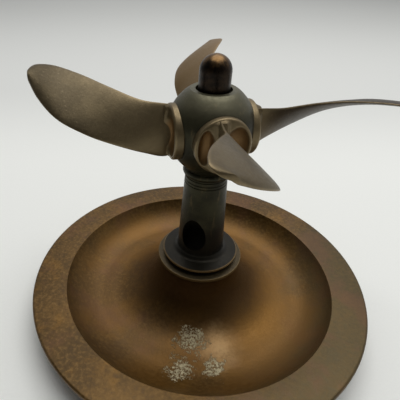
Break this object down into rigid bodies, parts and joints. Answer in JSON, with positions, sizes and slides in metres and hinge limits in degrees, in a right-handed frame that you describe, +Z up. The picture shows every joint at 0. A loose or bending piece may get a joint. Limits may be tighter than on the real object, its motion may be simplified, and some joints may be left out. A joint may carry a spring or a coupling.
{
  "type": "desk ashtray with ship propeller",
  "caption": "Round bronze desk ashtray with a central column that carries a turning ship propeller with adjustable-pitch blades and a snuffer hole.",
  "frame": {"origin": "on the table, at the centre of the foot ring, on the column's axis", "axes": "+Z up along the column, -Y towards the side with the snuffer hole, +X to its right"},
  "size_m": [0.17, 0.17, 0.1284],
  "materials": {
    "dish_bronze": "brown patina with golden wear",
    "patina_bronze": "dark grey-green patina",
    "blade_bronze": "brown-grey patina, lighter on the edges",
    "cap_bronze": "dark patina, worn golden on the crown",
    "brass_bush": "machined",
    "steel_bright": "ground",
    "steel_zinc": "zinc plated",
    "black_ring": "matt black"
  },
  "bodies": {
    "stand": {"dish": "dish_bronze", "flange_gasket": "black_ring", "column": "patina_bronze", "base_washer": "steel_zinc", "base_spring_washer": "steel_zinc", "base_bolt": "steel_zinc", "spindle": "steel_bright", "thrust_washer": "patina_bronze", "cap_washer": "brass_bush", "nose_cap": "cap_bronze"},
    "propeller": {"hub": "patina_bronze", "neck_ring": "patina_bronze", "lower_bush": "brass_bush", "upper_bush": "brass_bush"},
    "first_blade": {"blade_1": "blade_bronze", "blade_spring_1": "steel_bright", "blade_nut_1": "brass_bush"},
    "second_blade": {"blade_2": "blade_bronze", "blade_spring_2": "steel_bright", "blade_nut_2": "brass_bush"},
    "third_blade": {"blade_3": "blade_bronze", "blade_spring_3": "steel_bright", "blade_nut_3": "brass_bush"},
    "fourth_blade": {"blade_4": "blade_bronze", "blade_spring_4": "steel_bright", "blade_nut_4": "brass_bush"}
  },
  "joints": [
    {"name": "propeller_spin", "type": "hinge", "parent": "stand", "child": "propeller", "pos_m": [0, 0, 0.0986], "axis": [0, 0, 1], "continuous": true},
    {"name": "blade_1_pitch", "type": "hinge", "parent": "propeller", "child": "first_blade", "pos_m": [0, 0, 0.0986], "axis": [0.766, 0.6428, 0], "range_deg": [-60, 60]},
    {"name": "blade_2_pitch", "type": "hinge", "parent": "propeller", "child": "second_blade", "pos_m": [0, 0, 0.0986], "axis": [-0.6428, 0.766, 0], "range_deg": [-60, 60]},
    {"name": "blade_3_pitch", "type": "hinge", "parent": "propeller", "child": "third_blade", "pos_m": [0, 0, 0.0986], "axis": [-0.766, -0.6428, 0], "range_deg": [-60, 60]},
    {"name": "blade_4_pitch", "type": "hinge", "parent": "propeller", "child": "fourth_blade", "pos_m": [0, 0, 0.0986], "axis": [0.6428, -0.766, 0], "range_deg": [-60, 60]}
  ]
}
